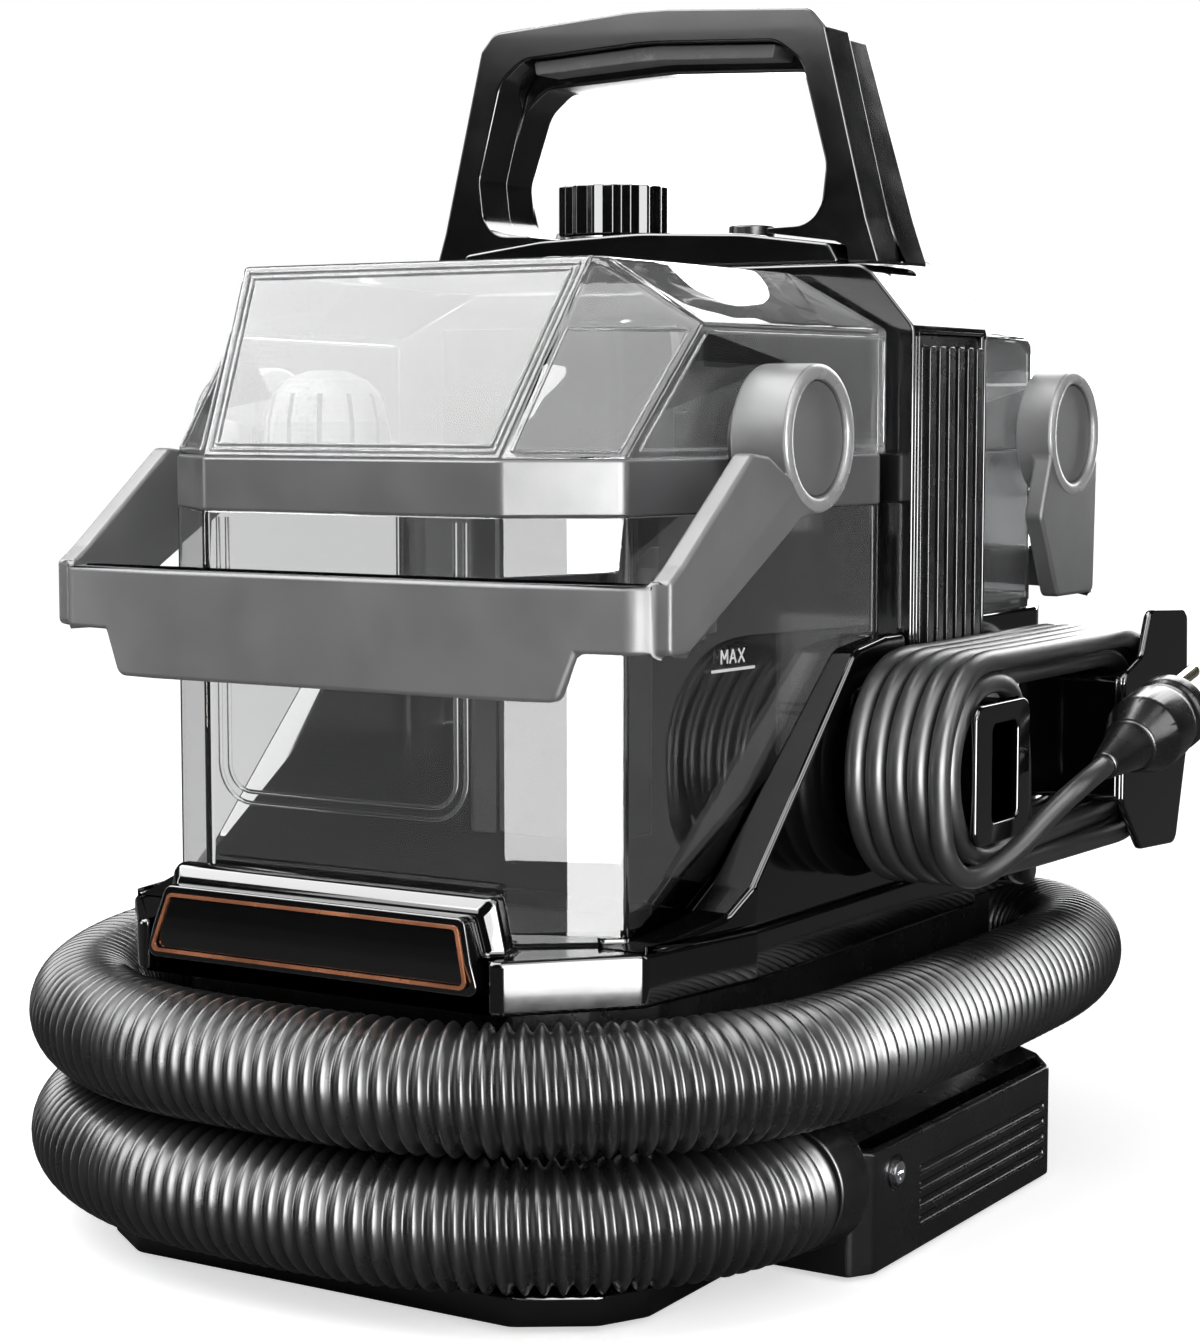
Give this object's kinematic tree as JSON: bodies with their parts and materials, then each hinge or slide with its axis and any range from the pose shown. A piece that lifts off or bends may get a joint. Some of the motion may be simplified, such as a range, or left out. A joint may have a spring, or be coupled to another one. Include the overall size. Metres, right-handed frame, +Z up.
{
  "type": "spot extractor",
  "caption": "Portable carpet and upholstery spot extractor with clear dirty-water tank, rear water tank, swing bails, carry handle, wound suction hose, spray tool and wound mains cord.",
  "frame": {"origin": "on the floor under the middle of the machine's box, without its cord and hose", "axes": "+Z up, +X to the machine's right side (cord side), -Y to the front (dirty-water tank)"},
  "size_m": [0.335, 0.4046, 0.3969],
  "materials": {
    "black_gloss": "glossy injection-moulded ABS",
    "black_satin": "fine-textured moulded plastic",
    "dark_inner": "unpainted inner moulding",
    "bail_grey": "satin grey moulded plastic",
    "disc_grey": "satin metallic-look grey",
    "clear_tank": "clear polycarbonate",
    "smoke_tank": "smoked polycarbonate",
    "seal_grey": "grey sealing band",
    "copper_line": "copper-coloured outline",
    "rubber_black": "moulded rubber",
    "hose_black": "corrugated flexible hose",
    "cord_black": "PVC mains cord",
    "motor_steel": "drawn steel can",
    "fan_alu": "cast aluminium",
    "screw_steel": "zinc-plated screw",
    "blade_brass": "plated brass blades",
    "board_green": "circuit board",
    "bristle": "nylon bristle"
  },
  "bodies": {
    "chassis": {"base_tray": "black_satin", "hose_recess_wall": "black_satin", "rubber_feet": "rubber_black", "upper_cradle": "black_gloss", "nose_plate": "black_gloss", "nose_plate_trim": "copper_line", "centre_column": "black_gloss", "ribbed_side_panels": "black_satin", "rear_housing": "black_gloss", "exhaust_grille": "black_satin", "water_receiver": "rubber_black", "handle_front_shell": "black_gloss", "handle_rear_shell": "black_satin", "handle_grip_pad": "rubber_black", "control_deck": "black_gloss", "fan_case": "dark_inner", "vacuum_motor": "motor_steel", "water_pump": "dark_inner", "steam_heater": "fan_alu", "control_board": "board_green", "suction_duct": "dark_inner", "duct_gasket": "rubber_black", "hose_port_block": "black_gloss", "hose_port_cuff": "black_satin", "port_screw": "screw_steel", "suction_hose": "hose_black", "power_cord_coil": "cord_black", "power_cord_runs": "cord_black", "cord_hooks": "black_satin", "cord_strain_relief": "cord_black", "plug_body": "cord_black", "plug_blades": "blade_brass", "tool_cuff": "black_satin", "tool_shell": "black_satin", "tool_trigger_pin": "screw_steel", "tool_nozzle": "clear_tank", "tool_brush": "bristle", "tool_holder": "black_satin"},
    "dirty_tank": {"dirty_tank_shell": "clear_tank", "tank_seal_band": "seal_grey", "inlet_standpipe": "black_gloss", "front_bail_pins": "bail_grey"},
    "dirty_lid": {"dirty_tank_lid": "clear_tank", "separator_frame": "dark_inner", "debris_filter": "dark_inner"},
    "float": {"float_ball": "bail_grey"},
    "front_bail": {"front_bail": "bail_grey", "front_bail_caps": "disc_grey"},
    "clean_tank": {"clean_tank_shell": "smoke_tank", "clean_tank_lid": "smoke_tank", "rear_bail_pins": "bail_grey", "outlet_valve_body": "dark_inner"},
    "fill_cap": {"fill_cap": "black_satin"},
    "outlet_plunger": {"valve_plunger": "rubber_black"},
    "rear_bail": {"rear_bail": "bail_grey", "rear_bail_caps": "disc_grey"},
    "mode_knob": {"mode_knob": "black_satin"},
    "power_button": {"power_button": "black_gloss"},
    "impeller": {"impeller": "fan_alu"},
    "tool_trigger": {"tool_trigger": "bail_grey"}
  },
  "joints": [
    {"name": "dirty_tank_lift", "type": "slide", "parent": "chassis", "child": "dirty_tank", "axis": [0, 0, 1], "range_m": [0, 0.22]},
    {"name": "dirty_lid_lift", "type": "slide", "parent": "dirty_tank", "child": "dirty_lid", "axis": [0, 0, 1], "range_m": [0, 0.195]},
    {"name": "float_rise", "type": "slide", "parent": "dirty_lid", "child": "float", "axis": [0, 0, 1], "range_m": [0, 0.02]},
    {"name": "front_bail_swing", "type": "hinge", "parent": "dirty_tank", "child": "front_bail", "pos_m": [0, -0.0725, 0.2528], "axis": [-1, 0, 0], "range_deg": [0, 118]},
    {"name": "clean_tank_lift", "type": "slide", "parent": "chassis", "child": "clean_tank", "axis": [0, 0, 1], "range_m": [0, 0.22]},
    {"name": "fill_cap_turn", "type": "hinge", "parent": "clean_tank", "child": "fill_cap", "pos_m": [0, 0.112, 0.2883], "axis": [0, 0.4028, 0.9153], "range_deg": [0, 90]},
    {"name": "outlet_plunger_slide", "type": "slide", "parent": "clean_tank", "child": "outlet_plunger", "axis": [0, 0, 1], "range_m": [0, 0.003], "stiffness_N_per_m": 120},
    {"name": "rear_bail_swing", "type": "hinge", "parent": "clean_tank", "child": "rear_bail", "pos_m": [0, 0.1253, 0.2528], "axis": [1, 0, 0], "range_deg": [0, 135]},
    {"name": "mode_knob_turn", "type": "hinge", "parent": "chassis", "child": "mode_knob", "pos_m": [-0.024, 0.031, 0.33], "axis": [0, 0, -1], "range_deg": [0, 180]},
    {"name": "power_button_press", "type": "slide", "parent": "chassis", "child": "power_button", "axis": [0, 0, -1], "range_m": [0, 0.0018], "stiffness_N_per_m": 900},
    {"name": "impeller_spin", "type": "hinge", "parent": "chassis", "child": "impeller", "pos_m": [0, 0.04, 0.035], "axis": [0, 0, 1], "continuous": true},
    {"name": "trigger_pull", "type": "hinge", "parent": "chassis", "child": "tool_trigger", "pos_m": [-0.131, 0.09868, 0.25361], "axis": [1, 0, 0], "range_deg": [0, 7], "stiffness_Nm_per_rad": 0.4}
  ]
}
